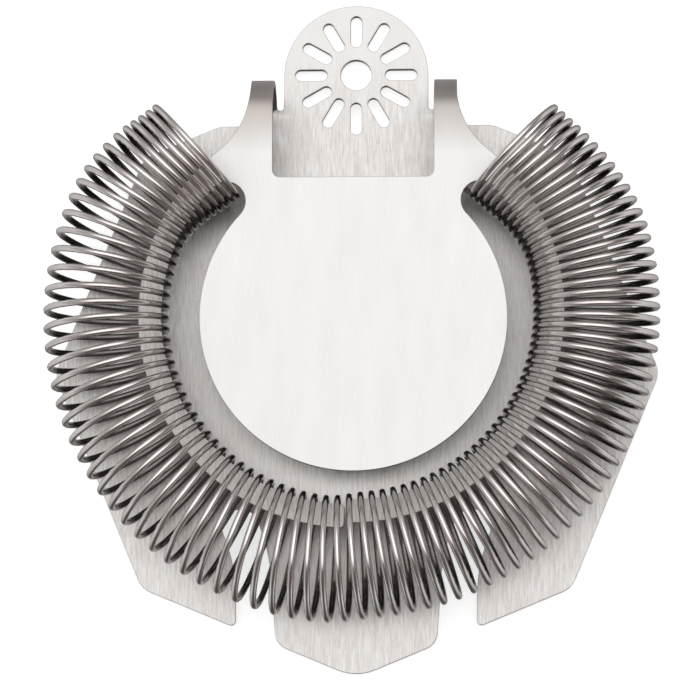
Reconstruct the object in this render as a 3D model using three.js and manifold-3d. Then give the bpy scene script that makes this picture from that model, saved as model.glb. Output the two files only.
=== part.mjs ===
// Hawthorne strainer: one folded stainless sheet and one coil spring. Millimetres, +Z up.
// Origin: back face of the base plate, under the centre of the round disc.
// +Y runs towards the thumb tab, +Z out of the spring side.
import * as THREE from 'three';
import { mergeVertices } from 'three/addons/utils/BufferGeometryUtils.js';
import Module from 'manifold-3d';

const wasm = await Module();
wasm.setup();

// ---- driving dimensions ----
const sheet = 1.0; // thickness of the folded sheet
const split = 0.3; // gap between neighbouring lengths of the same sheet or wire
const foldGap = 0.5; // gap where the top plate swings against the fold straps

const plateCentreY = -8.1; // centre of the octagonal base plate
const plateRadius = 50; // across the corners 100, across the flats 92.4
const plateRise = 0.9; // its two upper corners lie this much above those of a regular octagon
const plateCornerR = 4;
const lobeApexR = 8; // bottom of the middle lobe
const lobeCornerR = 3; // middle lobe, beside the pour slots
const lobeTipR = 0.8; // tips of the side lobes
const strapCornerR = 9; // where the octagon runs into the fold straps
const windowHalf = 13.15; // half width of the window between the fold straps
const windowY = 23; // lower edge of the window
const windowCornerR = 1.2;
const tabRootY = windowY - 1; // the thumb tab is a separate length of the sheet above this line
const foldY = 33.4; // the bend of the hairpin starts here
const topZ = 12.2; // underside of the top plate
const foldR = topZ / 2 + sheet / 2; // outer radius of the hairpin
const strapOuter = 16.87; // half width over the two fold straps

const slotCentre = [-46.8, -44.9]; // the pour slots are arcs about this point and its mirror
const slotInner = 27;
const slotOuter = 33;
const slotFlare = 0.6; // the mouth is this much wider on its middle side
const slotAngle = 22.5; // degrees from the straight mouth to the round inner end

const tabTilt = 6; // the thumb tab is bent away from the spring side
const tabBendR = 40;
const tabHalf = 12;
const tabArchY = 42.1; // centre of the tab's round end and of its cut-outs
const tabShoulderY = 35.9;
const tabShoulderR = 0.5;
const tabHoleR = 2.6; // hanging hole
const tabCuts = 12;
const tabCutFrom = 4.8;
const tabCutTo = 10.2;
const tabCutHalf = 0.95;
const cutLow = -8; // the tab's cutting tools reach from here
const cutHigh = 3; // to here

const discR = 25; // round disc of the top plate
const ringY = 0.75; // centre of the circle that the arms run round
const armInner = 30.75;
const armOuter = 34.55;
const armRoot = 41.7; // degrees above the X axis, where each arm leaves the top plate
const armSway = 0.97; // degrees that both arms lean to the left, each about its root
const armTipGap = 1.0; // between the two arm tips
const armTipCut = 0.7; // the tips' corners are broken by this much
const flareY = 38; // height at which the outer flare meets the strap

const wireR = 0.57;
const coilR = 9.8; // mean radius of a turn
const coilCentreR = 39.75; // the coil's centre line, a circle about the same point as the arms
const coilSwayTurn = [262, 276]; // degrees, between the part on the left arm and that on the right one
const coilEndDrop = 2.8; // the centre line comes in by this much at both ends
const coilEndTurns = [10, 13];
const coilZ = topZ + sheet / 2;
const coilStart = 134.2; // degrees
const coilSweep = 272.5;
const coilTurns = 91;
const coilSections = 13;
const stepsPerTurn = 12;
const wireSides = 5;
// turn number and pitch in degrees: close wound at both ends, open at the lower left
const coilPitch = [
  [0, 2.5], [8, 2.5], [13, 3.5], [18, 3.7], [40, 3.7],
  [50, 3.3], [68, 2.8], [76, 2.55], [91, 2.5],
];
// turn number and lean in degrees: how far the outside of a turn is ahead of the inside
const coilLean = [
  [0, -1], [5, -4.2], [10, -2.4], [16, 0.1], [34, 1.35], [38, 2.1],
  [43, 1], [49, -0.85], [60, -1.1], [72, -0.3], [83, 1.2], [87, 1.5], [91, 0],
];

// ---- materials ----
const steel = new THREE.MeshStandardMaterial({ color: 0xd9d8d6, roughness: 0.42, metalness: 1 });
const shadedSteel = new THREE.MeshStandardMaterial({ color: 0xc6c3bf, roughness: 0.45, metalness: 1 });
const wire = new THREE.MeshStandardMaterial({ color: 0xa9a6a3, roughness: 0.22, metalness: 1 });

// ---- small helpers ----
const rad = (degrees) => (degrees * Math.PI) / 180;

function arc(cx, cy, r, from, to, pieces) {
  const points = [];
  for (let i = 0; i <= pieces; i++) {
    const a = rad(from + ((to - from) * i) / Math.max(pieces, 1));
    points.push([cx + r * Math.cos(a), cy + r * Math.sin(a)]);
  }
  return points;
}

// A corner [x, y, r] of the outline becomes an arc of radius r; [x, y] stays sharp.
function rounded(corners) {
  const points = [];
  corners.forEach((corner, i) => {
    const [x, y, r] = corner;
    if (!r) {
      points.push([x, y]);
      return;
    }
    const here = new THREE.Vector2(x, y);
    const before = new THREE.Vector2(...corners.at(i - 1).slice(0, 2)).sub(here).normalize();
    const after = new THREE.Vector2(...corners[(i + 1) % corners.length].slice(0, 2)).sub(here).normalize();
    const half = Math.acos(before.dot(after)) / 2;
    const middle = before.clone().add(after).normalize();
    const centre = here.clone().addScaledVector(middle, r / Math.sin(half));
    const start = before.clone().multiplyScalar(r / Math.tan(half)).add(here).sub(centre);
    const turn = Math.PI - 2 * half;
    const side = Math.sign(before.cross(after));
    const pieces = r > 2 ? 5 : 3;
    for (let k = 0; k <= pieces; k++) {
      const spoke = start.clone().rotateAround(new THREE.Vector2(), (-side * turn * k) / pieces);
      points.push([centre.x + spoke.x, centre.y + spoke.y]);
    }
  });
  return points;
}

const mirrored = (points) => points.map(([x, y, r]) => [-x, y, r]).reverse();

function outline(points) {
  return new THREE.Shape(points.map(([x, y]) => new THREE.Vector2(x, y)));
}

function prism(points, z0, z1) {
  const geometry = new THREE.ExtrudeGeometry(outline(points), { depth: z1 - z0, bevelEnabled: false });
  geometry.translate(0, 0, z0);
  return geometry;
}

// A profile drawn as [y, z] and extruded along X from x0 to x1.
function alongX(profile, x0, x1) {
  const geometry = prism(profile, x0, x1);
  const basis = new THREE.Matrix4().makeBasis(
    new THREE.Vector3(0, 1, 0),
    new THREE.Vector3(0, 0, 1),
    new THREE.Vector3(1, 0, 0),
  );
  return geometry.applyMatrix4(basis);
}

function toSolid(geometry) {
  geometry.deleteAttribute('normal');
  geometry.deleteAttribute('uv');
  const welded = mergeVertices(geometry, 1e-5);
  return new wasm.Manifold(new wasm.Mesh({
    numProp: 3,
    vertProperties: new Float32Array(welded.attributes.position.array),
    triVerts: new Uint32Array(welded.index.array),
  }));
}

function toGeometry(solid) {
  const mesh = solid.getMesh();
  const geometry = new THREE.BufferGeometry();
  geometry.setAttribute('position', new THREE.BufferAttribute(new Float32Array(mesh.vertProperties), 3));
  geometry.setIndex(new THREE.BufferAttribute(new Uint32Array(mesh.triVerts), 1));
  const flat = geometry.toNonIndexed();
  flat.computeVertexNormals();
  return flat;
}

const part = new THREE.Group();
part.name = 'hawthorne_strainer';

function add(name, geometry, material) {
  const mesh = new THREE.Mesh(geometry, material);
  mesh.name = name;
  part.add(mesh);
}

// ---- base plate: octagon with two curved pour slots, and a notch where the thumb tab continues it ----
function basePlate() {
  const diagonal = plateRadius * Math.SQRT1_2;
  const bottomY = plateCentreY - plateRadius;
  const slope = Math.tan(rad(22.5));
  const mouthRight = slotCentre[0] + slotOuter + slotFlare;
  const mouthLeft = slotCentre[0] + slotInner;
  const endR = (slotOuter - slotInner) / 2;
  const endMid = (slotOuter + slotInner) / 2;
  const endX = slotCentre[0] + endMid * Math.cos(rad(slotAngle));
  const endY = slotCentre[1] + endMid * Math.sin(rad(slotAngle));
  const flatY = foldY - split;
  const leftHalf = [
    [mouthRight, bottomY - mouthRight * slope, lobeCornerR],
    ...arc(slotCentre[0], slotCentre[1], slotOuter, 0, slotAngle, 6),
    ...arc(endX, endY, endR, slotAngle, slotAngle + 180, 10).slice(1, -1),
    ...arc(slotCentre[0], slotCentre[1], slotInner, slotAngle, 0, 6),
    [mouthLeft, bottomY - mouthLeft * slope, lobeTipR],
    [-diagonal, plateCentreY - diagonal, plateCornerR],
    [-plateRadius, plateCentreY, plateCornerR],
    [-diagonal, plateCentreY + diagonal + plateRise, plateCornerR],
    [-(plateCentreY + plateRise + plateRadius - flatY) / slope, flatY, strapCornerR],
    [-windowHalf, flatY],
    [-windowHalf, tabRootY],
  ];
  const corners = [[0, bottomY, lobeApexR], ...leftHalf, ...mirrored(leftHalf)];
  return prism(rounded(corners).reverse(), 0, sheet);
}

// ---- thumb tab: flat root, a slight bend to the back, then the round end with its cut-outs ----
function thumbTab() {
  const tilt = rad(tabTilt);
  const rootY = tabRootY + split;
  const bendMid = tabBendR - sheet / 2;
  const bendZ = sheet - tabBendR;
  const bentY = foldY + bendMid * Math.sin(tilt);
  const bentZ = sheet / 2 - bendMid * (1 - Math.cos(tilt));
  const beyond = (tabArchY - bentY) / Math.cos(tilt) + 1.2 * tabHalf;
  const reach = (offset) => [
    bentY + beyond * Math.cos(tilt) + offset * Math.sin(tilt),
    bentZ - beyond * Math.sin(tilt) + offset * Math.cos(tilt),
  ];
  const profile = [
    [rootY, 0],
    ...arc(foldY, bendZ, tabBendR - sheet, 90, 90 - tabTilt, 6),
    reach(-sheet / 2),
    reach(sheet / 2),
    ...arc(foldY, bendZ, tabBendR, 90 - tabTilt, 90, 6),
    [rootY, sheet],
  ];
  const blank = toSolid(alongX(profile, -windowHalf, windowHalf));
  const side = windowHalf - split;
  const arch = arc(0, 0, tabHalf, 0, 180, 36).map(([x, y]) => [x, tabArchY + y * Math.cos(tilt)]);
  const plan = [
    [-side, rootY],
    [side, rootY],
    [side, tabShoulderY, tabShoulderR],
    [tabHalf, tabShoulderY],
    ...arch,
    [-tabHalf, tabShoulderY],
    [-side, tabShoulderY, tabShoulderR],
  ];
  let tab = blank.intersect(toSolid(prism(rounded(plan), cutLow, cutHigh)));
  const tools = [prism(arc(0, tabArchY, tabHoleR, 0, 360, 24).slice(1), cutLow, cutHigh)];
  for (let i = 0; i < tabCuts; i++) {
    const cut = [
      ...arc(tabCutTo - tabCutHalf, 0, tabCutHalf, -90, 90, 6),
      ...arc(tabCutFrom + tabCutHalf, 0, tabCutHalf, 90, 270, 6),
    ];
    const turned = prism(cut, cutLow, cutHigh).rotateZ(rad((i * 360) / tabCuts));
    tools.push(turned.translate(0, tabArchY, 0));
  }
  tools.forEach((tool) => {
    tab = tab.subtract(toSolid(tool));
  });
  return toGeometry(tab);
}

// ---- fold straps: the hairpin between base plate and top plate ----
const flareRise = flareY - ringY;
const flareR = (flareRise ** 2 + strapOuter ** 2 - armOuter ** 2) / (2 * (armOuter - strapOuter));
const flareX = strapOuter + flareR;
const flareEnd = (Math.atan2(flareRise, flareX) * 180) / Math.PI;
const flareSpan = 25; // degrees of the flare's circle that reach over the strap

// Everything outside the strap's edge, from below the bend to past it; `edge` is that edge, top to bottom.
function outsideStrap(edge, z0, z1) {
  const past = foldY + 2 * foldR;
  const aside = strapOuter + foldR;
  return toSolid(prism([...edge, [aside, foldY - foldR], [aside, past], [strapOuter, past]], z0, z1));
}

function foldStrap() {
  const profile = [
    ...arc(foldY, foldR, foldR, -90, 90, 18),
    ...arc(foldY, foldR, foldR - sheet, 90, -90, 18),
  ];
  const blank = toSolid(alongX(profile, windowHalf, strapOuter + sheet));
  const straight = outsideStrap([[strapOuter, foldY - foldR]], -sheet, foldR);
  const flare = arc(flareX, flareY, flareR, 180, 180 + flareSpan, 6);
  const flared = outsideStrap(flare, foldR - split, topZ + 2 * sheet);
  return toGeometry(blank.subtract(straight).subtract(flared));
}

// ---- top plate: neck, flares and round disc; its round-ended slots part it from the arms ----
function topPlate() {
  const rootX = armInner * Math.cos(rad(armRoot));
  const rootY = ringY + armInner * Math.sin(rad(armRoot));
  const rootR = Math.hypot(rootX, rootY);
  const rootAngle = (Math.atan2(rootY, rootX) * 180) / Math.PI;
  const slotMid = (discR + rootR) / 2 / rootR;
  const topY = foldY - foldGap;
  const drop = (Math.asin((flareY - topY) / flareR) * 180) / Math.PI;
  const rightHalf = [
    ...arc(0, 0, discR, -90, rootAngle, 30),
    ...arc(rootX * slotMid, rootY * slotMid, (rootR - discR) / 2, rootAngle + 180, rootAngle, 12).slice(1),
    ...arc(0, ringY, armOuter, armRoot, flareEnd, 3),
    ...arc(flareX, flareY, flareR, 180 + flareEnd, 180 + drop, 6).slice(1),
    [windowHalf, topY],
    [windowHalf, windowY, windowCornerR],
  ];
  const corners = [...rightHalf, ...mirrored(rightHalf).slice(0, -1)];
  return prism(rounded(corners), topZ, topZ + sheet);
}

// ---- spring arms: flat ring segments from the root to the free tip at the bottom ----
// Turns a place about the root of the left arm (side -1) or of the right one (side 1).
function swayed(x, y, side) {
  const middle = (armInner + armOuter) / 2;
  const rootX = side * middle * Math.cos(rad(armRoot));
  const rootY = ringY + middle * Math.sin(rad(armRoot));
  return new THREE.Vector2(x, y).rotateAround(new THREE.Vector2(rootX, rootY), -rad(armSway));
}

function springArm(side) {
  const degrees = 360 / Math.PI / (armInner + armOuter);
  const from = armRoot - split * degrees;
  const tip = -90 + (armTipGap / 2) * degrees;
  const tipCut = tip + armTipCut * degrees;
  const points = [
    ...arc(0, ringY, armOuter, from, tipCut, 34),
    ...arc(0, ringY, armOuter - armTipCut, tip, tipCut, 1).slice(0, 1),
    ...arc(0, ringY, armInner + armTipCut, tip, tipCut, 1).slice(0, 1),
    ...arc(0, ringY, armInner, tipCut, from, 34),
  ].reverse();
  const placed = side > 0 ? points : mirrored(points);
  return prism(placed.map(([x, y]) => swayed(x, y, side).toArray()), topZ, topZ + sheet);
}

// ---- coil spring ----
function tableAt(table, turn) {
  let i = 0;
  while (i < table.length - 2 && turn > table[i + 1][0]) {
    i += 1;
  }
  const [t0, v0] = table[i];
  const [t1, v1] = table[i + 1];
  return v0 + ((v1 - v0) * (turn - t0)) / (t1 - t0);
}

function pitchSum(turn) {
  let sum = 0;
  for (let i = 0; i < coilPitch.length - 1; i++) {
    const to = Math.min(turn, coilPitch[i + 1][0]);
    if (to > coilPitch[i][0]) {
      sum += ((to - coilPitch[i][0]) * (coilPitch[i][1] + tableAt(coilPitch, to))) / 2;
    }
  }
  return sum;
}

const pitchScale = coilSweep / pitchSum(coilTurns);

class CoilWire extends THREE.Curve {
  constructor(fromTurn, toTurn) {
    super();
    this.fromTurn = fromTurn;
    this.toTurn = toTurn;
  }

  getPoint(t, target = new THREE.Vector3()) {
    const turn = this.fromTurn + (this.toTurn - this.fromTurn) * t;
    const spin = 2 * Math.PI * turn;
    const lean = (tableAt(coilLean, turn) * (1 - Math.cos(spin))) / 2;
    const along = coilStart + pitchScale * pitchSum(turn);
    const angle = rad(along + lean);
    const startSide = 1 - THREE.MathUtils.smoothstep(turn, 0, coilEndTurns[0]);
    const endSide = THREE.MathUtils.smoothstep(turn, coilTurns - coilEndTurns[1], coilTurns);
    const centre = coilCentreR - coilEndDrop * (startSide + endSide);
    const r = centre - coilR * Math.cos(spin);
    const place = [r * Math.cos(angle), ringY + r * Math.sin(angle)];
    const onRight = THREE.MathUtils.smoothstep(along, ...coilSwayTurn);
    const { x, y } = swayed(...place, -1).lerp(swayed(...place, 1), onRight);
    return target.set(x, y, coilZ + coilR * Math.sin(spin));
  }

  getPointAt(u, target) {
    return this.getPoint(u, target);
  }

  getTangentAt(u, target = new THREE.Vector3()) {
    const step = 0.02 / (stepsPerTurn * (this.toTurn - this.fromTurn));
    const ahead = this.getPoint(u + step);
    return target.copy(ahead).sub(this.getPoint(u - step)).normalize();
  }
}

function coilSection(index) {
  const turns = coilTurns / coilSections;
  const gapTurns = split / 2 / (2 * Math.PI * coilR);
  const from = index * turns + (index ? gapTurns : 0);
  const to = (index + 1) * turns - (index < coilSections - 1 ? gapTurns : 0);
  const section = arc(0, 0, wireR, 0, 360, wireSides).slice(1);
  return new THREE.ExtrudeGeometry(outline(section), {
    steps: turns * stepsPerTurn,
    extrudePath: new CoilWire(from, to),
    bevelEnabled: false,
  });
}

// ---- assembly ----
add('base_plate', basePlate(), shadedSteel);
add('thumb_tab', thumbTab(), steel);
const strap = foldStrap();
add('fold_strap_right', strap, steel);
add('fold_strap_left', toGeometry(toSolid(strap.clone()).mirror([1, 0, 0])), steel);
add('top_plate', topPlate(), steel);
add('spring_arm_right', springArm(1), steel);
add('spring_arm_left', springArm(-1), steel);
for (let i = 0; i < coilSections; i++) {
  add(`coil_spring_${String(i + 1).padStart(2, '0')}`, coilSection(i), wire);
}

export default part;
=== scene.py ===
"""Looks of the hawthorne strainer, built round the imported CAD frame.

The folded sheet is drawn flat, cut, given its thickness and then folded. Lengths in this script are
millimetres, and finish_mesh() turns them into Blender's metres.
"""

import math

import bmesh
import bpy
import numpy as np
from mathutils import Matrix, Vector


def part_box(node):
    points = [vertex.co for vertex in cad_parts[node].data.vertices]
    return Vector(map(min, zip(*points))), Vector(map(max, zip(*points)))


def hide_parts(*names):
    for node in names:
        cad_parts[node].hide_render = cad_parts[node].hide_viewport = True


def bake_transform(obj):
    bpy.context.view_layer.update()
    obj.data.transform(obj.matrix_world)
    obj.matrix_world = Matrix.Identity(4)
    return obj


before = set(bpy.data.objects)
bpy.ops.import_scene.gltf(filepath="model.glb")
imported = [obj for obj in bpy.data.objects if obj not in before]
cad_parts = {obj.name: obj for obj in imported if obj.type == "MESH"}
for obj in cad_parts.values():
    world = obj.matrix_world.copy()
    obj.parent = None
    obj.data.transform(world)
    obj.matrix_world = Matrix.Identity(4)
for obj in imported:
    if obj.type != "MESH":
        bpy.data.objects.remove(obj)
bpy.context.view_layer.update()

MM = 0.001


def node_box(node):
    low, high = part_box(node)
    return low / MM, high / MM


# ---- sizes read from the frame ----
plate_low, plate_high = node_box("base_plate")
tab_low, tab_high = node_box("thumb_tab")
top_low = node_box("top_plate")[0]
strap_low, strap_high = node_box("fold_strap_right")

SHEET = plate_high.z - plate_low.z
HALF_CORNER = math.radians(22.5)  # half the turn at a corner of the octagonal plate
CORNER_LOSS = 1 / math.cos(HALF_CORNER) - 1  # what a rounded corner loses, per unit of its radius
CORNER_R = 4.0
APEX_R = 8.0  # of the corner at the bottom, on the middle lobe
PLATE_R = plate_high.x + CORNER_LOSS * CORNER_R  # from the plate's middle to its corners
PLATE_Y = plate_low.y - CORNER_LOSS * APEX_R + PLATE_R
TOP_Z = top_low.z
FOLD_MID = (TOP_Z + SHEET) / 2 - SHEET / 2  # radius of the hairpin at the middle of the sheet
FOLD_Y = strap_high.y - FOLD_MID - SHEET / 2  # where the hairpin begins
FOLD_END = FOLD_Y + math.pi * FOLD_MID  # where it ends on the flat sheet
WINDOW_HALF = strap_low.x
DISC_R = -top_low.y

# ---- further sizes of the folded sheet, close to the CAD model's ----
EDGE = 0.09  # rounding of the sheet's edges
PLATE_RISE = 0.9  # the plate's two upper corners lie this much above those of a regular octagon
LOBE_CORNER_R = 3.0
LOBE_TIP_R = 0.8
STRAP_CORNER_R = 5.0  # where the plate's edge meets a strap
STRAP_OUTER = 16.87
STRAP_FILLET = 1.5
STRAP_SEAM = (13.3, 14.3)  # the straps' bend runs out into the flat tab between these, under the straps
SLOT_X, SLOT_Y = 46.8, -44.9  # centre of the right pour slot's curve
SLOT_INNER, SLOT_OUTER = 27.0, 33.0
SLOT_FLARE = 0.6
SLOT_ANGLE = 22.5  # degrees that the slot's curve runs in from the edge
WINDOW_Y = 23.0
WINDOW_CORNER_R = 1.2
TAB_TILT = math.radians(6)  # to the back
TAB_BEND = 39.5  # the middle radius of that bend
TAB_HALF = 12.0
TAB_ARCH_Y = 42.1
TAB_GAP_Y = 36.0  # where the gaps beside the tab end
TAB_CLEAR = 1.0  # the least room between the tab and the far side of the window on the flat sheet
BENT_Y = FOLD_Y + TAB_BEND * math.sin(TAB_TILT)  # where the tab's bend ends
HOLE_R = 2.6
CUTS, CUT_FROM, CUT_TO, CUT_HALF = 12, 4.8, 10.2, 0.95  # the ring of slots: count, ends, half width

# ---- sizes of the arms ----
RING_Y = 0.75  # centre of the circle that the arms and the coil run round
ARM_INNER, ARM_OUTER = 30.75, 34.55
ARM_MIDDLE = (ARM_INNER + ARM_OUTER) / 2
ARM_ROOT = 41.7  # degrees
ARM_ROOT_GAP = 0.03  # degrees, too small to be seen
ARM_SWAY = math.radians(0.97)  # both arms lean to the left by this much, each about its root
ARM_TIP_GAP = 1.0
ARM_TIP_R = 0.7
ARM_TIP_ANGLE = 2.5  # degrees at the tip that are left for its rounded corners
FLARE_Y = 38.0
FLARE_RISE = FLARE_Y - RING_Y
FLARE_R = (FLARE_RISE**2 + STRAP_OUTER**2 - ARM_OUTER**2) / (2 * (ARM_OUTER - STRAP_OUTER))
FLARE_X = STRAP_OUTER + FLARE_R

# ---- sizes of the coil. A turn is counted from the left end, and angles are degrees round the ring ----
WIRE_R = 0.54
COIL_R, COIL_CENTRE_R = 9.79, 39.75
COIL_START, COIL_SWEEP, COIL_TURNS = 134.2, 272.5, 91
COIL_SECTIONS = 13  # in CAD
COIL_Z = TOP_Z + SHEET / 2
COIL_DROP = 2.8  # how far the ends move inwards, over COIL_END_TURNS turns
COIL_END_TURNS = (10, 13)
COIL_SWAY_TURN = (262, 276)  # where the coil passes from the left arm to the right one
# (turn, spacing of the turns relative to each other)
COIL_PITCH = np.array(
    [(0, 2.5), (8, 2.5), (13, 3.5), (18, 3.7), (40, 3.7), (50, 3.3), (68, 2.8), (76, 2.55), (91, 2.5)]
)
# (turn, angle by which the turn's outside is ahead of its inside)
COIL_LEAN = np.array(
    [(0, -1), (5, -4.2), (10, -2.4), (16, 0.1), (34, 1.35), (38, 2.1), (43, 1), (49, -0.85)]
    + [(60, -1.1), (72, -0.3), (83, 1.2), (87, 1.5), (91, 0)]
)
STEPS_PER_TURN, WIRE_SIDES = 40, 10

# ---- the setting ----
FLOOR_SIZE = 3.0  # metres
FLOOR_GAP = 0.1
FLOOR_GLOW = 0.66
DIFFUSER = 1.7  # brightness of the diffuser overhead
CAMERA_EYE = Vector((24, -66.7, 596))
CAMERA_TARGET = Vector((-1.05, -4.0, 0))
CAMERA_LENS = 186.4
SENSOR_WIDTH = 36

# ---- texture coordinates ----
PER_MM = 0.1  # they are in centimetres
STEEP = 0.3  # a face of the flat sheet whose normal rises less than this is a cut edge


# ---- small helpers ----
def arc(cx, cy, r, start, end, pieces):
    angles = np.radians(np.linspace(start, end, pieces + 1))
    return [(cx + r * math.cos(a), cy + r * math.sin(a)) for a in angles]


def rounded(corners):
    """A corner (x, y, r) becomes an arc of radius r; (x, y) stays sharp."""
    points = []
    for i, corner in enumerate(corners):
        if len(corner) == 2:
            points.append(corner)
            continue
        here, r = Vector(corner[:2]), corner[2]
        before = (Vector(corners[i - 1][:2]) - here).normalized()
        after = (Vector(corners[(i + 1) % len(corners)][:2]) - here).normalized()
        half = before.angle(after) / 2
        centre = here + (before + after).normalized() * (r / math.sin(half))
        start = here + before * (r / math.tan(half)) - centre
        end = here + after * (r / math.tan(half)) - centre
        turn = start.angle_signed(end)
        pieces = max(4, int(math.degrees(abs(turn)) / 6))
        for k in range(pieces + 1):
            a = -turn * k / pieces
            c, s = math.cos(a), math.sin(a)
            points.append((centre.x + start.x * c - start.y * s, centre.y + start.x * s + start.y * c))
    return points


def mirrored(points):
    return [(-p[0], *p[1:]) for p in reversed(points)]


def finish_mesh(mesh, smooth_degrees=22):
    mesh.transform(Matrix.Scale(MM, 4))
    mesh.shade_smooth()
    mesh.set_sharp_from_angle(angle=math.radians(smooth_degrees))
    return mesh


def add_object(name, mesh, material):
    piece = bpy.data.objects.new(name, mesh)
    bpy.context.scene.collection.objects.link(piece)
    mesh.materials.clear()
    mesh.materials.append(material)
    return piece


def cut_sheet(name, loops):
    """A flat sheet with rounded edges from closed loops, the first one its outline. It lies on Z = 0."""
    curve = bpy.data.curves.new(name, "CURVE")
    curve.dimensions = "2D"
    curve.fill_mode = "BOTH"
    curve.extrude = SHEET / 2 - EDGE
    curve.bevel_depth = EDGE
    curve.bevel_resolution = 1
    curve.offset = -EDGE
    for loop in loops:
        spline = curve.splines.new("POLY")
        spline.points.add(len(loop) - 1)
        for point, (x, y) in zip(spline.points, loop):
            point.co = (x, y, 0, 1)
        spline.use_cyclic_u = True
    holder = bpy.data.objects.new(name, curve)
    bpy.context.scene.collection.objects.link(holder)
    bpy.context.view_layer.update()
    evaluated = holder.evaluated_get(bpy.context.evaluated_depsgraph_get())
    mesh = bpy.data.meshes.new_from_object(evaluated)
    bpy.data.objects.remove(holder)
    bpy.data.curves.remove(curve)
    mesh.transform(Matrix.Translation((0, 0, SHEET / 2)))
    return mesh


def keep_flat_place(mesh):
    """Stores where each point lies on the flat sheet, in centimetres, which is what the brushing follows.
    Also stores which face of the sheet it is: 0 for the fine outer one, 1 for the coarse inner one, and
    how far a face is a cut edge, from 0 to 1."""
    layer = mesh.uv_layers.new(name="sheet")
    places = np.array([v.co[:2] for v in mesh.vertices]) * PER_MM
    corners = np.zeros(len(mesh.loops), int)
    mesh.loops.foreach_get("vertex_index", corners)
    layer.data.foreach_set("uv", places[corners].ravel())
    up = np.array([face.normal.z for face in mesh.polygons])
    for name, values in (("inner_face", up > STEEP), ("cut_edge", np.abs(up) < STEEP)):
        attribute = mesh.attributes.new(name, "FLOAT", "FACE")
        attribute.data.foreach_set("value", values.astype(np.float32))


# ---- materials ----
def new_material(name):
    material = bpy.data.materials.new(name)
    material.use_nodes = True
    nodes = material.node_tree.nodes
    nodes.clear()
    shader = nodes.new("ShaderNodeBsdfPrincipled")
    output = nodes.new("ShaderNodeOutputMaterial")
    material.node_tree.links.new(shader.outputs["BSDF"], output.inputs["Surface"])
    return material, shader


class Nodes:
    """Adds nodes to one node tree and links them."""

    def __init__(self, tree):
        self.tree = tree

    def add(self, kind, links=None, **values):
        node = self.tree.nodes.new(kind)
        for key, value in values.items():
            if key in node.inputs:
                node.inputs[key].default_value = value
            else:
                setattr(node, key, value)
        for key, source in (links or {}).items():
            self.tree.links.new(source, node.inputs[key])
        return node

    def noise(self, place, stretch, detail=3.0, roughness=0.6, seed=0.0):
        """Noise with stretch[0] marks a unit across the grain and stretch[1] along it."""
        scaled = self.add("ShaderNodeMapping", {"Vector": place}, Scale=stretch, Location=(seed,) * 3)
        node = self.add("ShaderNodeTexNoise", {"Vector": scaled.outputs[0]}, Scale=1.0, Detail=detail)
        node.inputs["Roughness"].default_value = roughness
        return node.outputs[0]

    def remap(self, value, low, high, to_low, to_high):
        node = self.add("ShaderNodeMapRange", {"Value": value})
        limits = {"From Min": low, "From Max": high, "To Min": to_low, "To Max": to_high}
        for key, limit in limits.items():
            node.inputs[key].default_value = limit
        return node.outputs[0]

    def mix(self, factor, a, b):
        """a where factor is 0, b where it is 1."""
        node = self.add("ShaderNodeMix")
        for socket, value in zip((node.inputs[0], node.inputs[2], node.inputs[3]), (factor, a, b)):
            self.connect(value, socket)
        return node.outputs[0]

    def connect(self, value, socket):
        if isinstance(value, (int, float)):
            socket.default_value = value
        else:
            self.tree.links.new(value, socket)

    def math(self, operation, *values):
        node = self.add("ShaderNodeMath", operation=operation)
        for socket, value in zip(node.inputs, values):
            self.connect(value, socket)
        return node.outputs[0]


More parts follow.
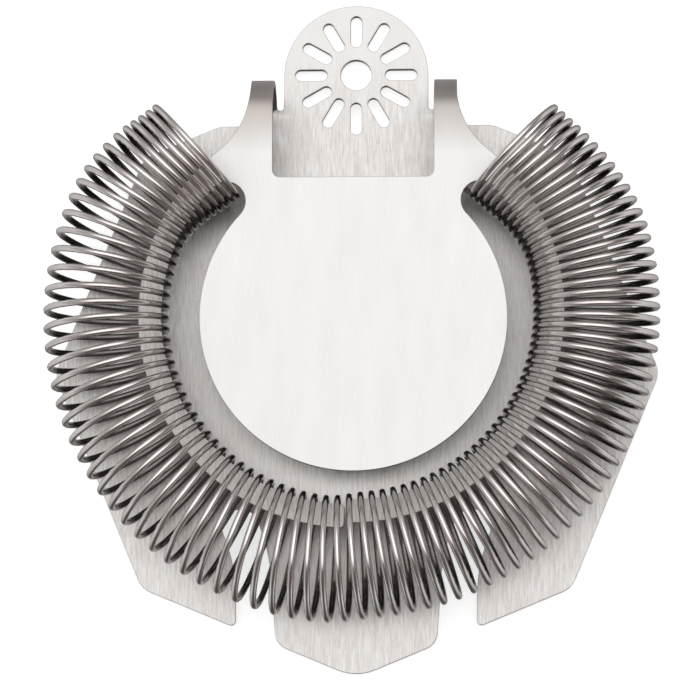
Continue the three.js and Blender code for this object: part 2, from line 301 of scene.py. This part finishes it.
def brushed_steel():
    """Stainless sheet brushed along its length. Its outer face has fine short streaks, its inner face
    coarser wavy ones, and the cut edges are darker and striped across the thickness."""
    material, shader = new_material("brushed_steel_sheet")
    nodes = Nodes(material.node_tree)
    place = nodes.add("ShaderNodeUVMap", uv_map="sheet").outputs[0]
    inner = nodes.add("ShaderNodeAttribute", attribute_name="inner_face").outputs["Fac"]
    edge = nodes.add("ShaderNodeAttribute", attribute_name="cut_edge").outputs["Fac"]

    waver = nodes.noise(place, (1.1, 1.6, 1), detail=2, seed=21.0)
    aside = nodes.math("MULTIPLY", waver, 0.05)
    bent = nodes.add("ShaderNodeVectorMath", {0: place, 1: aside}, operation="ADD")
    fine = nodes.noise(place, (46, 2.4, 1), detail=4, roughness=0.65)
    medium = nodes.noise(bent.outputs[0], (24, 3.2, 1), detail=4, roughness=0.7, seed=7.3)
    broad = nodes.noise(place, (2.2, 0.6, 1), detail=2, seed=3.1)
    streak = nodes.mix(inner, fine, nodes.mix(0.55, fine, medium))
    streak = nodes.remap(streak, 0.32, 0.68, 0.0, 1.0)

    scratch = scratches(nodes, place)
    # towards the tab's end the streaks fade into an even, lighter tone, which is painted light
    coarse = nodes.mix(smooth_tab_end_painted_light(nodes, place), nodes.remap(streak, 0, 1, 0.62, 1.08), 0.95)
    shade = nodes.mix(inner, nodes.remap(streak, 0, 1, 0.95, 1.03), coarse)
    shade = nodes.math("MULTIPLY", shade, nodes.remap(broad, 0.3, 0.7, 0.96, 1.025))
    worn = nodes.math("MULTIPLY", scratch, nodes.remap(inner, 0, 1, 0.04, 0.16))
    shade = nodes.math("MULTIPLY", shade, nodes.remap(worn, 0, 1, 1.0, 0.0))
    # painted shade, and some painted light, on the fold's outer face
    shade = nodes.math("MULTIPLY", shade, nodes.mix(inner, painted_fold_shade(nodes, place), 1.0))
    shade = nodes.mix(edge, shade, nodes.remap(fine, 0.3, 0.7, 0.42, 0.6))
    tint = nodes.add("ShaderNodeValToRGB", {"Fac": nodes.remap(shade, 0.4, 1.0, 0.0, 1.0)})
    tint.color_ramp.elements[0].color = (0.62, 0.53, 0.48, 1)
    tint.color_ramp.elements[1].color = (0.655, 0.65, 0.642, 1)
    colour = nodes.add("ShaderNodeVectorMath", {0: tint.outputs["Color"], 1: shade}, operation="MULTIPLY")
    nodes.tree.links.new(colour.outputs[0], shader.inputs["Base Color"])

    rough = nodes.mix(inner, nodes.remap(streak, 0, 1, 0.36, 0.42), nodes.remap(streak, 0, 1, 0.30, 0.42))
    rough = nodes.math("ADD", rough, nodes.remap(broad, 0.3, 0.7, -0.01, 0.01))
    rough = nodes.math("ADD", rough, nodes.math("MULTIPLY", edge, 0.1))
    nodes.tree.links.new(rough, shader.inputs["Roughness"])

    height = nodes.math("MULTIPLY", streak, nodes.remap(inner, 0, 1, 0.5, 1.0))
    height = nodes.math("SUBTRACT", height, nodes.math("MULTIPLY", worn, 3.0))
    bump = nodes.add("ShaderNodeBump", {"Height": height}, Strength=0.3, Distance=0.00003)
    nodes.tree.links.new(bump.outputs[0], shader.inputs["Normal"])
    across = nodes.add("ShaderNodeTangent", direction_type="UV_MAP", uv_map="sheet")
    nodes.tree.links.new(across.outputs[0], shader.inputs["Tangent"])
    shader.inputs["Anisotropic"].default_value = 0.6
    shader.inputs["Metallic"].default_value = 1.0
    return material


def painted_fold_shade(nodes, place):
    """Painted shade on the bent straps: darkest near the top of the fold, with painted light lower on the
    fold, fading out on the flat sheet towards the disc. The limits are centimetres across and along the
    flat sheet."""
    u, v, _ = nodes.add("ShaderNodeSeparateXYZ", {0: place}).outputs
    past = nodes.math("SUBTRACT", v, FOLD_END * PER_MM)
    before = nodes.remap(past, -0.9, -0.25, 1.15, 0.66)
    after = nodes.remap(past, -0.15, 0.65, 0.0, 0.34)
    tab = nodes.remap(nodes.math("ABSOLUTE", u), 1.27, 1.30, 1.0, 0.0)
    return nodes.math("MAXIMUM", nodes.math("ADD", before, after), tab)


def smooth_tab_end_painted_light(nodes, place):
    """The brushing's streaks fade out towards the end of the thumb tab, and the tone there is lifted a
    little: painted light, where the tab catches more light.
    """
    along = nodes.add("ShaderNodeSeparateXYZ", {0: place}).outputs[1]
    return nodes.remap(along, 3.3, 4.6, 0.0, 0.7)


def scratches(nodes, place):
    """A few fine lines that cross the brushing, found as the borders of very long slanted cells."""
    slant = nodes.add("ShaderNodeMapping", {"Vector": place}, Scale=(3.2, 0.35, 1), Rotation=(0, 0, 0.9))
    drift = nodes.noise(place, (0.7, 0.7, 1), detail=1, seed=11.0)
    warped = nodes.add("ShaderNodeVectorMath", {0: slant.outputs[0], 1: drift}, operation="ADD")
    cells = nodes.add(
        "ShaderNodeTexVoronoi", {"Vector": warped.outputs[0]}, feature="DISTANCE_TO_EDGE", Scale=0.9
    )
    line = nodes.remap(cells.outputs["Distance"], 0.0, 0.006, 1.0, 0.0)
    patches = nodes.remap(nodes.noise(place, (0.9, 0.9, 1), detail=2, seed=3.7), 0.56, 0.62, 0.0, 1.0)
    return nodes.math("MULTIPLY", line, patches)


def drawn_wire():
    """Bright drawn wire: lines along the wire and a slightly uneven, warm grey tone. The back of the coil
    is darkened with painted shade, and the cut ends of the wire are darker."""
    material, shader = new_material("drawn_spring_wire")
    nodes = Nodes(material.node_tree)
    place = nodes.add("ShaderNodeUVMap", uv_map="wire").outputs[0]
    lines = nodes.noise(place, (9, 0.9, 1), detail=3)
    patches = nodes.noise(place, (1.5, 2.0, 1), detail=3, seed=5.0)
    mixed = nodes.remap(nodes.mix(0.4, lines, patches), 0.35, 0.65, 0.0, 1.0)
    colour = nodes.add("ShaderNodeValToRGB", {"Fac": mixed})
    colour.color_ramp.elements[0].color = (0.60, 0.55, 0.53, 1)
    colour.color_ramp.elements[1].color = (0.75, 0.715, 0.705, 1)
    deep = nodes.add("ShaderNodeAttribute", attribute_name="depth").outputs["Fac"]
    cut = nodes.add("ShaderNodeAttribute", attribute_name="cut_end").outputs["Fac"]
    # painted shade darkens the back of the coil; the cut ends are darker in their own right
    painted_back_shade_and_cut_ends = nodes.math("MULTIPLY", nodes.remap(deep, 0.1, 0.6, 1.0, 0.38), nodes.remap(cut, 0, 1, 1.0, 0.2))
    shade = nodes.add("ShaderNodeVectorMath", {0: colour.outputs["Color"], 1: painted_back_shade_and_cut_ends}, operation="MULTIPLY")
    nodes.tree.links.new(shade.outputs[0], shader.inputs["Base Color"])
    rough = nodes.math("ADD", nodes.remap(mixed, 0, 1, 0.12, 0.20), nodes.math("MULTIPLY", cut, 0.4))
    nodes.tree.links.new(rough, shader.inputs["Roughness"])
    bump = nodes.add("ShaderNodeBump", {"Height": mixed}, Strength=0.12, Distance=0.00003)
    nodes.tree.links.new(bump.outputs[0], shader.inputs["Normal"])
    shader.inputs["Metallic"].default_value = 1.0
    return material


# ---- the folded sheet ----
def on_flat(x, y):
    """The place on the flat sheet of a point of the top plate seen from above."""
    if y <= FOLD_Y:
        return x, FOLD_END + FOLD_Y - y
    return x, FOLD_END - FOLD_MID * math.asin(min(1, (y - FOLD_Y) / FOLD_MID))


WINDOW_TOP = on_flat(0, WINDOW_Y)[1]  # on the flat sheet


def arm_point(r, degrees):
    """A point of the circle of radius r that the arms run round."""
    a = math.radians(degrees)
    return r * math.cos(a), RING_Y + r * math.sin(a)


def plate_side():
    """Right side of the base plate, from the bottom tip to the fold."""
    slope = math.tan(HALF_CORNER)
    bottom = PLATE_Y - PLATE_R
    inner_x = SLOT_X - SLOT_OUTER - SLOT_FLARE
    outer_x = SLOT_X - SLOT_INNER
    end_r = (SLOT_OUTER - SLOT_INNER) / 2
    middle = (SLOT_OUTER + SLOT_INNER) / 2
    a = math.radians(180 - SLOT_ANGLE)
    end_x, end_y = SLOT_X + middle * math.cos(a), SLOT_Y + middle * math.sin(a)
    diagonal = PLATE_R * math.sqrt(0.5)
    return [
        (inner_x, bottom + inner_x * slope, LOBE_CORNER_R),
        *arc(SLOT_X, SLOT_Y, SLOT_OUTER, 180, 180 - SLOT_ANGLE, 10),
        *arc(end_x, end_y, end_r, 180 - SLOT_ANGLE, -SLOT_ANGLE, 24)[1:-1],
        *arc(SLOT_X, SLOT_Y, SLOT_INNER, 180 - SLOT_ANGLE, 180, 10),
        (outer_x, bottom + outer_x * slope, LOBE_TIP_R),
        (diagonal, PLATE_Y - diagonal, CORNER_R),
        (PLATE_R, PLATE_Y, CORNER_R),
        (diagonal, PLATE_Y + diagonal + PLATE_RISE, CORNER_R),
        ((PLATE_Y + PLATE_RISE + PLATE_R - FOLD_Y) / slope, FOLD_Y, STRAP_CORNER_R),
        (STRAP_OUTER, FOLD_Y, STRAP_FILLET),
    ]


def top_side():
    """Right side of the strap, the flare, the arm's root and the disc, on the flat sheet."""
    flare_end = math.atan2(FLARE_RISE, FLARE_X)
    seen = []
    for y in np.linspace(FLARE_Y, RING_Y + ARM_OUTER * math.sin(flare_end), 20):
        seen.append((FLARE_X - math.sqrt(FLARE_R**2 - (FLARE_Y - y) ** 2), y))
    root = Vector(arm_point(ARM_INNER, ARM_ROOT))
    root_angle = math.degrees(math.atan2(root.y, root.x))
    slot = root.normalized() * (DISC_R + root.length) / 2
    seen += [
        *arc(0, RING_Y, ARM_OUTER, math.degrees(flare_end), ARM_ROOT, 4)[1:],
        *arc(*slot, (root.length - DISC_R) / 2, root_angle, root_angle + 180, 24),
        *arc(0, 0, DISC_R, root_angle, -90, 80)[1:-1],
    ]
    return [on_flat(x, y) for x, y in seen]


def sheet_loops():
    bottom = (0, PLATE_Y - PLATE_R, APEX_R)
    disc_bottom = on_flat(0, -DISC_R)
    side = [*plate_side(), *top_side()]
    outline = rounded([bottom, *side, disc_bottom, *mirrored(side)])
    arch_y = FOLD_Y + TAB_BEND * TAB_TILT + (TAB_ARCH_Y - BENT_Y) / math.cos(TAB_TILT) - EDGE
    gap_r = (WINDOW_HALF - TAB_HALF) / 2
    gap = arc(TAB_HALF + gap_r, TAB_GAP_Y + gap_r, gap_r, 0, -180, 10)
    window = rounded(
        [
            *gap,
            *arc(0, arch_y, TAB_HALF, 0, 180, 60),
            *mirrored(gap),
            (-WINDOW_HALF, WINDOW_TOP, WINDOW_CORNER_R),
            (WINDOW_HALF, WINDOW_TOP, WINDOW_CORNER_R),
        ]
    )
    cuts = [arc(0, arch_y, HOLE_R, 0, 360, 40)[:-1]]
    for k in range(CUTS):
        turn = Matrix.Rotation(2 * math.pi * k / CUTS, 2)
        cut = [
            *arc(CUT_TO - CUT_HALF, 0, CUT_HALF, -90, 90, 10),
            *arc(CUT_FROM + CUT_HALF, 0, CUT_HALF, 90, 270, 10),
        ]
        turned = [turn @ Vector(p) for p in cut]
        cuts.append([(p.x, p.y + arch_y) for p in turned])
    return [outline, window, *cuts]


def folded(point):
    """Where a point of the flat sheet lies once the sheet is folded. point.z is 0 on the back face."""
    u, v, n = point
    past = v - FOLD_Y
    off = n - SHEET / 2  # from the middle of the sheet
    if past <= 0:
        return Vector((u, v, n))
    beside_gap = v > TAB_GAP_Y + (WINDOW_HALF - TAB_HALF) / 2
    tab_edge = (TAB_HALF + WINDOW_HALF) / 2 if beside_gap else sum(STRAP_SEAM) / 2
    is_tab = abs(u) < tab_edge and v < WINDOW_TOP - TAB_CLEAR
    radius, most, up = (TAB_BEND, TAB_TILT, -1) if is_tab else (FOLD_MID, math.pi, 1)
    turn = min(past / radius, most)
    straight = past - turn * radius
    c, s = math.cos(turn), math.sin(turn)
    y = FOLD_Y + (radius - up * off) * s + straight * c
    z = SHEET / 2 + up * (radius - (radius - up * off) * c + straight * s)
    return Vector((u, y, z))


def folded_sheet(material):
    mesh = cut_sheet("folded_sheet", sheet_loops())
    work = bmesh.new()
    work.from_mesh(mesh)
    bmesh.ops.remove_doubles(work, verts=work.verts, dist=1e-4)
    cuts = [((0, FOLD_Y + FOLD_MID * math.radians(a), 0), (0, 1, 0)) for a in np.linspace(0, 180, 37)]
    cuts += [((side * seam, 0, 0), (1, 0, 0)) for side in (-1, 1) for seam in STRAP_SEAM]
    for place, normal in cuts:
        geometry = work.verts[:] + work.edges[:] + work.faces[:]
        bmesh.ops.bisect_plane(work, geom=geometry, dist=1e-4, plane_co=place, plane_no=normal)
    work.to_mesh(mesh)
    work.free()
    keep_flat_place(mesh)
    for vertex in mesh.vertices:
        vertex.co = folded(vertex.co)
    return add_object("folded_sheet", finish_mesh(mesh), material)


# ---- the spring arms ----
def swayed(x, y, side):
    """Turns places about the root of the left arm (side -1) or of the right one (side 1)."""
    root_x, root_y = arm_point(ARM_MIDDLE, ARM_ROOT)
    dx, dy = x - side * root_x, y - root_y
    c, s = math.cos(ARM_SWAY), math.sin(ARM_SWAY)
    return side * root_x + dx * c + dy * s, root_y + dy * c - dx * s


def spring_arm(name, side, material):
    tip = -90 + math.degrees(ARM_TIP_GAP / 2 / ARM_MIDDLE)
    root = ARM_ROOT - ARM_ROOT_GAP
    outline = rounded(
        [
            *arc(0, RING_Y, ARM_OUTER, tip + ARM_TIP_ANGLE, root, 80),
            *arc(0, RING_Y, ARM_INNER, root, tip + ARM_TIP_ANGLE, 80),
            (*arm_point(ARM_INNER, tip), ARM_TIP_R),
            (*arm_point(ARM_OUTER, tip), ARM_TIP_R),
        ]
    )
    if side < 0:
        outline = mirrored(outline)
    outline = np.stack(swayed(*np.array(outline).T, side), axis=1)
    mesh = cut_sheet(name, [outline])
    keep_flat_place(mesh)
    mesh.transform(Matrix.Translation((0, 0, TOP_Z)))
    return add_object(name, finish_mesh(mesh), material)


# ---- the coil spring ----
def table_at(table, turn):
    return np.interp(turn, table[:, 0], table[:, 1])


def smooth(x):
    return x * x * (3 - 2 * x)


def coil_line(turn):
    """Points of the wire's centre line, in millimetres. The inside of a turn is at whole numbers."""
    grid = np.linspace(0, COIL_TURNS, 20 * COIL_TURNS + 1)
    pitch = table_at(COIL_PITCH, grid)
    total = np.concatenate([[0], np.cumsum((pitch[1:] + pitch[:-1]) / 2 * np.diff(grid))])
    along = np.interp(turn, grid, total) * COIL_SWEEP / total[-1]
    spin = 2 * math.pi * turn
    along += COIL_START
    angle = np.radians(along + table_at(COIL_LEAN, turn) * (1 - np.cos(spin)) / 2)
    start = 1 - np.clip(turn / COIL_END_TURNS[0], 0, 1)
    end = np.clip((turn - COIL_TURNS + COIL_END_TURNS[1]) / COIL_END_TURNS[1], 0, 1)
    ease = smooth(start) + smooth(end)
    r = COIL_CENTRE_R - COIL_DROP * ease - COIL_R * np.cos(spin)
    x, y = r * np.cos(angle), RING_Y + r * np.sin(angle)
    left, right = np.array(swayed(x, y, -1)), np.array(swayed(x, y, 1))
    change, changed = COIL_SWAY_TURN
    x, y = left + (right - left) * smooth(np.clip((along - change) / (changed - change), 0, 1))
    return np.stack([x, y, COIL_Z + COIL_R * np.sin(spin)], axis=1)


def coil_spring(material):
    turn = np.linspace(0, COIL_TURNS, COIL_TURNS * STEPS_PER_TURN + 1)
    line = coil_line(turn)
    tangent = np.gradient(line, axis=0)
    tangent /= np.linalg.norm(tangent, axis=1)[:, None]
    middle = np.array([0, RING_Y, COIL_Z])
    hub = (line - middle) * (1, 1, 0)
    hub *= (COIL_CENTRE_R / np.linalg.norm(hub, axis=1))[:, None]
    hub += middle
    outward = line - hub
    side = np.cross(tangent, outward)
    side /= np.linalg.norm(side, axis=1)[:, None]
    normal = np.cross(side, tangent)
    rings = []
    for k in range(WIRE_SIDES):
        a = math.pi + 2 * math.pi * k / WIRE_SIDES
        rings.append(line + WIRE_R * (math.cos(a) * normal + math.sin(a) * side))
    points = np.stack(rings, axis=1).reshape(-1, 3)
    faces = []
    for i in range(len(line) - 1):
        for k in range(WIRE_SIDES):
            j = (k + 1) % WIRE_SIDES
            a, b = i * WIRE_SIDES, (i + 1) * WIRE_SIDES
            faces.append((a + k, a + j, b + j, b + k))
    faces.append(tuple(reversed(range(WIRE_SIDES))))
    faces.append(tuple(range(len(points) - WIRE_SIDES, len(points))))
    mesh = bpy.data.meshes.new("coil_spring")
    mesh.from_pydata(points.tolist(), [], faces)
    depth = mesh.attributes.new("depth", "FLOAT", "POINT")  # 0 at the front of the coil, 1 at its back; it sets the wire's painted shade
    depth.data.foreach_set("value", ((COIL_Z + COIL_R - points[:, 2]) / (2 * COIL_R)).astype(np.float32))
    cut_end = mesh.attributes.new("cut_end", "FLOAT", "FACE")
    cut_end.data.foreach_set("value", [0.0] * (len(faces) - 2) + [1.0, 1.0])
    layer = mesh.uv_layers.new(name="wire")
    corners = np.zeros(len(mesh.loops), int)
    mesh.loops.foreach_get("vertex_index", corners)
    step, k = np.divmod(corners, WIRE_SIDES)
    length = 2 * math.pi * COIL_R * step / STEPS_PER_TURN
    layer.data.foreach_set("uv", np.stack([k / WIRE_SIDES, length * PER_MM], axis=1).ravel())
    return add_object("coil_spring", finish_mesh(mesh, smooth_degrees=50), material)


# ---- pieces on the frame ----
steel = brushed_steel()
wire = drawn_wire()

sheet = folded_sheet(steel)
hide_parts("base_plate", "thumb_tab", "fold_strap_left", "fold_strap_right", "top_plate")
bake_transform(sheet)

for name, side in (("spring_arm_right", 1), ("spring_arm_left", -1)):
    arm = spring_arm(name + "_strip", side, steel)
    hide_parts(name)
    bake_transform(arm)

spring = coil_spring(wire)
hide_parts(*[f"coil_spring_{i + 1:02d}" for i in range(COIL_SECTIONS)])
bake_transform(spring)


# ---- floor, light and camera ----
def floor():
    """A pale flat floor, lit well enough to look white right up to the object. It slopes a little, because
    the strainer stands on its middle lobe and on the end of its thumb tab."""
    mesh = bpy.data.meshes.new("floor")
    half = FLOOR_SIZE / 2
    corners = [(-half, -half, 0), (half, -half, 0), (half, half, 0), (-half, half, 0)]
    mesh.from_pydata(corners, [], [(0, 1, 2, 3)])
    material, shader = new_material("pale_floor")
    nodes = Nodes(material.node_tree)
    place = nodes.add("ShaderNodeTexCoord").outputs["Object"]
    grain = nodes.noise(place, (60, 60, 60), detail=4)
    colour = nodes.add("ShaderNodeValToRGB", {"Fac": grain})
    colour.color_ramp.elements[0].color = (0.86, 0.86, 0.86, 1)
    colour.color_ramp.elements[1].color = (0.90, 0.90, 0.90, 1)
    nodes.tree.links.new(colour.outputs["Color"], shader.inputs["Base Color"])
    nodes.tree.links.new(colour.outputs["Color"], shader.inputs["Emission Color"])
    shader.inputs["Emission Strength"].default_value = FLOOR_GLOW
    shader.inputs["Roughness"].default_value = 0.9
    plane = add_object("floor", mesh, material)
    lobe, tip = Vector((plate_low.y, plate_low.z)), Vector((tab_high.y, tab_low.z))
    slope = (tip.y - lobe.y) / (tip.x - lobe.x)
    plane.location.z = (lobe.y - slope * lobe.x - FLOOR_GAP) * MM
    plane.rotation_euler.x = math.atan(slope)
    plane.visible_glossy = False  # the steel reflects the tent instead


def studio_light():
    """A light tent: a bright round diffuser overhead, walls that are lighter at the far left than at the
    near right, reflectors low on both sides, and a dark gap on the near side."""
    world = bpy.data.worlds.new("studio")
    bpy.context.scene.world = world
    world.use_nodes = True
    nodes = Nodes(world.node_tree)
    direction = nodes.add("ShaderNodeTexCoord").outputs["Generated"]
    x, y, z = nodes.add("ShaderNodeSeparateXYZ", {0: direction}).outputs
    aside = nodes.math("ABSOLUTE", x)
    low = nodes.remap(aside, 0.25, 0.65, 0.34, 0.80)
    high = nodes.remap(nodes.math("SUBTRACT", y, x), -0.4, 0.6, 0.19, 0.52)
    walls = nodes.mix(nodes.remap(z, 0.0, 0.35, 0.0, 1.0), low, high)
    overhead = nodes.add("ShaderNodeVectorMath", {0: direction}, operation="DOT_PRODUCT")
    overhead.inputs[1].default_value = Vector((0, 0.2, 1)).normalized()
    diffuser = nodes.remap(overhead.outputs["Value"], 0.68, 0.92, 0.0, 1.0)
    lit = nodes.mix(diffuser, walls, DIFFUSER)
    beside_gap = nodes.remap(aside, 0.22, 0.42, 0.0, 1.0)
    gap = nodes.math("MAXIMUM", beside_gap, nodes.remap(y, -0.40, -0.18, 0.0, 1.0))
    lit = nodes.mix(gap, 0.12, lit)
    tint = nodes.add("ShaderNodeValToRGB", {"Fac": lit})
    tint.color_ramp.elements[0].color = (1.0, 0.86, 0.80, 1)
    tint.color_ramp.elements[1].position = 0.6
    tint.color_ramp.elements[1].color = (1, 1, 1, 1)
    background = nodes.tree.nodes["Background"]
    nodes.tree.links.new(tint.outputs["Color"], background.inputs["Color"])
    nodes.tree.links.new(lit, background.inputs["Strength"])


def camera():
    """Almost straight above, a little to the right, so that the inside of the left strap just shows."""
    data = bpy.data.cameras.new("camera")
    data.sensor_width = SENSOR_WIDTH
    data.lens = CAMERA_LENS
    eye = CAMERA_EYE * MM
    forward = (CAMERA_TARGET * MM - eye).normalized()
    right = forward.cross(Vector((0, 1, 0))).normalized()
    up = right.cross(forward)
    turn = Matrix((right, up, -forward)).transposed().to_4x4()
    eye_object = bpy.data.objects.new("camera", data)
    eye_object.matrix_world = Matrix.Translation(eye) @ turn
    bpy.context.scene.collection.objects.link(eye_object)
    bpy.context.scene.camera = eye_object


floor()
studio_light()
camera()
bpy.context.scene.view_settings.view_transform = "Standard"
